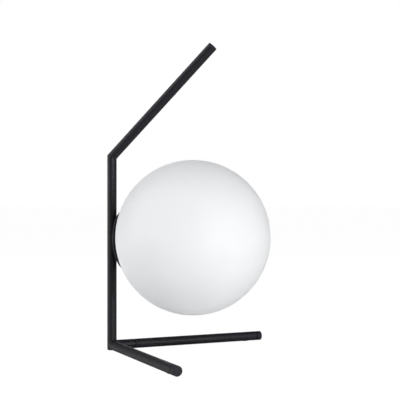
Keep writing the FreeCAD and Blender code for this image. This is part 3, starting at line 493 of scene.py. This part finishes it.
def bead(path, radius, closed=False):
    """A weld bead along a path of points: a round rope with the ripples of its making, which
    runs out at both ends of an open path."""
    off_path = Vector((0.3, 0.2, 1))
    rings = []
    travelled = 0.0
    count = len(path)
    for number, point in enumerate(path):
        before = path[number - 1] if closed or number else point
        after = path[(number + 1) % count] if closed or number < count - 1 else point
        travelled += (point - path[number - 1]).length if number else 0.0
        forward = (after - before).normalized()
        outward = forward.cross(off_path).normalized()
        upward = outward.cross(forward)
        ripple = 1 + WELD_RIPPLE * math.sin(2 * math.pi * travelled / WELD_PITCH)
        to_end = min(number, count - 1 - number) / RUN_OUT_STEPS
        taper = 1.0 if closed else min(1.0, RUN_OUT_SHARE + (1 - RUN_OUT_SHARE) * to_end)
        size = radius * ripple * taper
        angles = [2 * math.pi * side / BEAD_SIDES for side in range(BEAD_SIDES)]
        rings.append([point + outward * size * math.cos(angle) + upward * size * math.sin(angle)
                      for angle in angles])
    return skin(rings, closed)


# Frame of tubes

def stem_and_arm():
    """Stem and arm as one welded and ground tube: the crease of the mitre is softly rounded."""
    bend = math.radians(90) - ARM_RISE
    slope = Vector((math.cos(ARM_RISE), 0, math.sin(ARM_RISE)))
    out_of_stem = Vector((-1, 0, 0))
    out_of_arm = Vector((-math.sin(ARM_RISE), 0, math.cos(ARM_RISE)))
    half = math.tan(bend / 2)
    hole_levels = (CORD_HEIGHT - CORD_HOLE_BAND, CORD_HEIGHT + CORD_HOLE_BAND)

    def wall(radius):
        """Rings of one face of the wall: its low end, round the crease and its high end."""
        low, high = [], []
        arcs = [[] for step in range(CREASE_STEPS + 1)]
        for side in range(ROUND_SIDES):
            angle = 2 * math.pi * side / ROUND_SIDES
            level = Y_AXIS * radius * math.cos(angle)
            outward = radius * math.sin(angle)
            low.append(level + out_of_stem * outward + Z_AXIS * FOOT_HEAD)
            corner = level + out_of_stem * outward + Z_AXIS * (STEM_HEIGHT + outward * half)
            for step, ring in enumerate(arcs):
                turn = bend * step / CREASE_STEPS
                rise = MITRE_ROUND * (math.sin(turn) - half)
                over = MITRE_ROUND * (1 - math.cos(turn))
                ring.append(corner + Z_AXIS * rise + Vector((over, 0, 0)))
            high.append(level + out_of_arm * outward + Z_AXIS * STEM_HEIGHT
                        + slope * (ARM_LENGTH - ARM_CAP_HEAD))
        return low, arcs, high

    low_out, arcs_out, high_out = wall(TUBE_R)
    low_in, arcs_in, high_in = wall(BORE_R)
    high_lip = [a.lerp(b, TIP_LIP / (TUBE_R - BORE_R)) for a, b in zip(high_out, high_in)]
    high_edge = [point - slope * TIP_LIP for point in high_out]
    band_out = [[Vector((point.x, point.y, level)) for point in low_out] for level in hole_levels]
    band_in = [[Vector((point.x, point.y, level)) for point in low_in] for level in hole_levels]
    rings = [low_in, low_out, *band_out, *arcs_out, high_edge, high_lip, high_in,
             *reversed(arcs_in), *reversed(band_in)]
    tube = drilled(skin(rings), ON_OUTLET, CORD_HOLE_R, 2 * TUBE_R)
    piece_from("stem_and_arm", tube, "black_coat", "frame", "stem_tube", "arm_tube")


def start_on_stem(angle):
    """Where a level tube as thick as the stem is coped to it."""
    return TUBE_R * abs(math.sin(angle))


def start_in_corner(angle):
    """Where the stub is coped to the stem, and to the front leg on its own far side."""
    if math.cos(angle) < 0:
        return TUBE_R * max(abs(math.sin(angle)), abs(math.cos(angle)))
    return start_on_stem(angle)


def weld_path(where, start_of, radius, first=WELD_START, last=WELD_END, steps=WELD_STEPS):
    """Points along the cope of a tube, from one angle round to another in degrees."""
    points = []
    for step in range(steps + 1):
        angle = math.radians(first + (last - first) * step / steps)
        points.append(where @ Vector((start_of(angle), radius * math.cos(angle),
                                      radius * math.sin(angle))))
    return points


def front_leg():
    """Leg welded to the foot of the stem."""
    end = LEG_LENGTH - LEG_CAP_HEAD
    tube = coped_tube(ON_FRONT_LEG, start_on_stem, end, TUBE_R, BORE_R, SEAM_LIP)
    piece_from("front_leg", tube, "black_coat", "frame", "front_leg_tube")
    weld = bead(weld_path(ON_FRONT_LEG, start_on_stem, TUBE_R), WELD_R)
    piece_from("front_leg_weld", weld, "black_coat", "frame")


def side_leg():
    """Welded stub, and the leg that screws onto it, with a short neck that shows as the seam."""
    stub = coped_tube(ON_SIDE_LEG, start_in_corner, JOINT_REACH, TUBE_R, BORE_R, SEAM_LIP)
    piece_from("side_leg_root", stub, "black_coat", "frame", "side_leg_stub")
    weld = bead(weld_path(ON_SIDE_LEG, start_in_corner, TUBE_R), WELD_R)
    piece_from("side_leg_weld", weld, "black_coat", "frame")
    end = LEG_LENGTH - LEG_CAP_HEAD
    full = JOINT_REACH + SEAM_GAP
    neck = TUBE_R - SEAM_DEPTH
    outline = softened(
        [(JOINT_REACH, BORE_R), (JOINT_REACH, neck), (full, neck), (full, TUBE_R),
         (end, TUBE_R), (end, BORE_R)],
        [0, 0, 0, SEAM_LIP, SEAM_LIP, 0])
    leg = turned(outline, ON_SIDE_LEG)
    piece_from("side_leg", leg, "black_coat", "frame", "side_leg_tube")


def cap(name, where, seam, head, gap, node):
    """Cap in the end of a tube: a head with a rounded bevel, and a plug with a neck in the bore."""
    end = seam + head
    start = seam + gap
    neck = seam - gap
    corners = [
        (seam - PLUG_DEPTH, 0), (seam - PLUG_DEPTH, BORE_R), (neck, BORE_R), (neck, CAP_NECK_R),
        (start, CAP_NECK_R), (start, TUBE_R), (end - EDGE_BEVEL, TUBE_R),
        (end, TUBE_R - EDGE_BEVEL), (end, 0)]
    sizes = [0, CAP_ROUND, 0, 0, 0, SEAM_LIP, CAP_ROUND, CAP_ROUND, 0]
    piece_from(name, turned(softened(corners, sizes), where), "black_cap", "frame", node)


def caps():
    """Long caps in the legs, with an open seam, and a flush one in the arm."""
    leg_seam = LEG_LENGTH - LEG_CAP_HEAD
    arm_seam = ARM_LENGTH - ARM_CAP_HEAD
    cap("front_leg_end", ON_FRONT_LEG, leg_seam, LEG_CAP_HEAD, SEAM_GAP, "front_leg_cap")
    cap("side_leg_end", ON_SIDE_LEG, leg_seam, LEG_CAP_HEAD, SEAM_GAP, "side_leg_cap")
    cap("arm_end", ON_ARM, arm_seam, ARM_CAP_HEAD, TIGHT_GAP, "arm_cap")


# Dish and globe

def boss():
    """Boss between stem and dish, with its weld."""
    def start_of(angle):
        """Where the boss is coped to the stem."""
        return math.sqrt(TUBE_R ** 2 - (BOSS_R * math.cos(angle)) ** 2)

    tube = coped_tube(ON_GLOBE_AXIS, start_of, BOSS_FACE_X, BOSS_R, ROD_HOLE_R, BOSS_LIP)
    piece_from("boss", tube, "black_coat", "frame", "dish_boss")
    path = weld_path(ON_GLOBE_AXIS, start_of, BOSS_R, 0, 360)[:-1]
    piece_from("boss_weld", bead(path, BOSS_WELD_R, closed=True), "black_coat", "frame")


def drop_rim(bm, fixed_r):
    """Slide the wall outside the flat floor round the globe's centre, so that the rim sits lower."""
    centre = Vector((GLOBE_X, 0, GLOBE_HEIGHT))
    for vert in bm.verts:
        spoke = vert.co - centre
        off_axis = math.hypot(spoke.y, spoke.z)
        share = min(max((off_axis - fixed_r) / (RIM_R - fixed_r), 0.0), 1.0)
        vert.co = centre + Matrix.Rotation(-RIM_DROP * share, 3, "Y") @ spoke


def back_dish():
    """Shallow cup with a rounded rim, which the photo shows a little lower than the globe's axis."""
    rim_back = (GLOBE_X - math.sqrt(DISH_OUT_R ** 2 - RIM_R ** 2), RIM_R)
    share = DISH_IN_R / DISH_OUT_R
    rim_front = (GLOBE_X - (GLOBE_X - rim_back[0]) * share, RIM_R * share)
    floor_edge = (FLOOR_X, math.sqrt(DISH_IN_R ** 2 - (GLOBE_X - FLOOR_X) ** 2))
    seat = (BOSS_FACE_X, BOSS_SEAT_R)
    outside = arc_between(seat, rim_back, GLOBE_X, DISH_STEPS)
    inside = arc_between(rim_front, floor_edge, GLOBE_X, DISH_STEPS)
    corners = [(BOSS_FACE_X, ROD_HOLE_R), seat, *outside, rim_back, rim_front, *inside,
               floor_edge, (FLOOR_X, ROD_HOLE_R)]
    sizes = [0.0] * len(corners)
    sizes[corners.index(rim_back)] = RIM_BACK_ROUND
    sizes[corners.index(rim_front)] = RIM_FRONT_ROUND
    dish = turned(softened(corners, sizes, RIM_STEPS), ON_GLOBE_AXIS, DISH_SIDES)
    drop_rim(dish, floor_edge[1])
    piece_from("back_dish", dish, "black_coat", "frame", "dish")


def globe():
    """Blown globe, drawn as a true round, with the pressed edge of its mouth."""
    inner_r = GLOBE_R - GLASS_WALL
    flat_r = math.sqrt(GLOBE_R ** 2 - (GLOBE_X - MOUTH_X) ** 2)
    inside_x = MOUTH_X + MOUTH_THICK
    inside_r = math.sqrt(inner_r ** 2 - (GLOBE_X - inside_x) ** 2)
    front = (GLOBE_X + GLOBE_R, 0)
    back = (GLOBE_X + inner_r, 0)
    outside = arc_between((MOUTH_X, flat_r), front, GLOBE_X, GLOBE_STEPS)
    inside = arc_between(back, (inside_x, inside_r), GLOBE_X, GLOBE_INSIDE_STEPS)
    corners = [(MOUTH_X, MOUTH_R), (MOUTH_X, flat_r), *outside, front, back, *inside,
               (inside_x, inside_r), (inside_x, MOUTH_R)]
    sizes = [0.0] * len(corners)
    sizes[0] = MOUTH_ROUND
    sizes[-1] = MOUTH_ROUND
    body = turned(softened(corners, sizes), ON_GLOBE_AXIS, GLOBE_SIDES)
    piece_from("globe", body, "opal_glass", "globe", "glass_globe")


# Stage, light and camera

WHITE = (1, 1, 1, 1)
SOFT_WHITE = (0.98, 0.994, 1, 1)
EVEN_LIGHT = 0.17
BACKDROP_EDGE = (0.94, 0.98)
FLOOR_RADIUS = 30
FLOOR_SIDES = 64
FLOOR_COLOUR = (0.9, 0.9, 0.9, 1)
FLOOR_ROUGHNESS = 0.9
FLOOR_GLOW = 1.03
FLOOR_GLOW_SHARE = 0.95
FAR_FLOOR = (0.8, 2.4)
BOX_SIZE = 1.2
WIDE_BOX = 1.7
BOX_DISTANCE = 2
BOX_AIM = Vector((0.08, 0, 0.18))
HIGH_BOX = 40
CAMERA_TURN = math.radians(20.6)
LENS = 88.65
SENSOR_WIDTH = 36
EYE = Vector((0.5720, -1.1876, 0.1996))
LOOK = Vector((-0.352, 0.936, 0))


def camera():
    """Level camera at the photograph's viewing angle."""
    data = bpy.data.cameras.new("photo_view")
    data.lens = LENS
    data.sensor_width = SENSOR_WIDTH
    eye = bpy.data.objects.new("photo_view", data)
    eye.location = EYE
    eye.rotation_euler = LOOK.to_track_quat("-Z", "Y").to_euler()
    scene.collection.objects.link(eye)
    scene.camera = eye


def combined(tree, operation, first, second):
    """Two outputs combined: the maximum says that either holds, the product that both do."""
    node = tree.nodes.new("ShaderNodeMath")
    node.operation = operation
    tree.links.new(first, node.inputs[0])
    tree.links.new(second, node.inputs[1])
    return node.outputs[0]


def backdrop_share(tree, coordinate, edge):
    """How far a place or a direction lies behind the lamp, as seen from the camera's side."""
    behind = tree.nodes.new("ShaderNodeVectorMath")
    behind.operation = "DOT_PRODUCT"
    behind.inputs[1].default_value = LOOK
    source = tree.nodes.new("ShaderNodeTexCoord").outputs[coordinate]
    tree.links.new(source, behind.inputs[0])
    share = tree.nodes.new("ShaderNodeMapRange")
    share.interpolation_type = "SMOOTHSTEP"
    share.inputs["From Min"].default_value = edge[0]
    share.inputs["From Max"].default_value = edge[1]
    tree.links.new(behind.outputs["Value"], share.inputs["Value"])
    return share.outputs["Result"]


def sees_background(tree, coordinate, edge):
    """One for the camera's rays and what shows through glass. Gloss sees the background where it
    lies behind the lamp, and the lit room and floor elsewhere."""
    path = tree.nodes.new("ShaderNodeLightPath").outputs
    straight = combined(tree, "MAXIMUM", path["Is Camera Ray"], path["Is Transmission Ray"])
    behind = backdrop_share(tree, coordinate, edge)
    mirrored = combined(tree, "MULTIPLY", path["Is Glossy Ray"], behind)
    return combined(tree, "MAXIMUM", straight, mirrored)


def mixed(tree, share, first, second):
    """The first shader, or the second by the share given."""
    mix = tree.nodes.new("ShaderNodeMixShader")
    tree.links.new(share, mix.inputs[0])
    tree.links.new(first, mix.inputs[1])
    tree.links.new(second, mix.inputs[2])
    return mix.outputs[0]


def floor():
    """Pale floor that keeps the lamp's soft shadow and runs into the white background."""
    bm = bmesh.new()
    bmesh.ops.create_circle(bm, cap_ends=True, radius=FLOOR_RADIUS, segments=FLOOR_SIDES)
    mesh = bpy.data.meshes.new("floor")
    bm.to_mesh(mesh)
    bm.free()
    ground = bpy.data.objects.new("floor", mesh)
    scene.collection.objects.link(ground)
    material = bpy.data.materials.new("pale_floor")
    material.use_nodes = True
    tree = material.node_tree
    pale = tree.nodes["Principled BSDF"]
    pale.inputs["Base Color"].default_value = FLOOR_COLOUR
    pale.inputs["Roughness"].default_value = FLOOR_ROUGHNESS
    pale.inputs["Specular IOR Level"].default_value = 0.0
    glow = tree.nodes.new("ShaderNodeEmission")
    glow.inputs["Strength"].default_value = FLOOR_GLOW
    share = tree.nodes.new("ShaderNodeMath")
    share.operation = "MULTIPLY"
    share.inputs[1].default_value = FLOOR_GLOW_SHARE
    tree.links.new(sees_background(tree, "Object", FAR_FLOOR), share.inputs[0])
    shown = mixed(tree, share.outputs[0], pale.outputs[0], glow.outputs[0])
    tree.links.new(shown, tree.nodes["Material Output"].inputs["Surface"])
    mesh.materials.append(material)


def world():
    """Even soft light from all round, and a white backdrop behind the lamp: the camera and what
    shows through glass see white all over, and gloss sees it on the backdrop's side."""
    sky = bpy.data.worlds.new("studio")
    sky.use_nodes = True
    scene.world = sky
    tree = sky.node_tree
    even = tree.nodes["Background"]
    even.inputs["Color"].default_value = SOFT_WHITE
    even.inputs["Strength"].default_value = EVEN_LIGHT
    white = tree.nodes.new("ShaderNodeBackground")
    white.inputs["Color"].default_value = WHITE
    seen = sees_background(tree, "Generated", BACKDROP_EDGE)
    shown = mixed(tree, seen, even.outputs[0], white.outputs[0])
    tree.links.new(shown, tree.nodes["World Output"].inputs["Surface"])


def soft_box(name, turn, rise, power, width=BOX_SIZE):
    """A soft box that faces the lamp, placed by its angles in degrees from the camera's side."""
    azimuth = CAMERA_TURN + math.radians(turn)
    height = math.radians(rise)
    away = Vector((math.sin(azimuth) * math.cos(height), -math.cos(azimuth) * math.cos(height),
                   math.sin(height)))
    data = bpy.data.lights.new(name, "AREA")
    data.shape = "RECTANGLE"
    data.size = width
    data.size_y = BOX_SIZE
    data.energy = power
    lamp = bpy.data.objects.new(name, data)
    lamp.location = BOX_AIM + away * BOX_DISTANCE
    lamp.rotation_euler = away.to_track_quat("Z", "Y").to_euler()
    scene.collection.objects.link(lamp)
    return lamp


def lights():
    """A low and a high soft box on each side, the key at the camera's right and the fill at its
    left, and one behind the lamp that gloss doesn't show."""
    soft_box("key_low", turn=34, rise=0, power=31)
    soft_box("key_high", turn=34, rise=HIGH_BOX, power=11)
    soft_box("fill_low", turn=-85, rise=0, power=22, width=WIDE_BOX)
    soft_box("fill_high", turn=-95, rise=HIGH_BOX, power=13)
    back = soft_box("back", turn=184, rise=30, power=13)
    back.visible_glossy = False


finish_cad_nodes()
stem_and_arm()
front_leg()
side_leg()
caps()
boss()
back_dish()
globe()
camera()
floor()
world()
lights()
scene.view_settings.view_transform = "Standard"
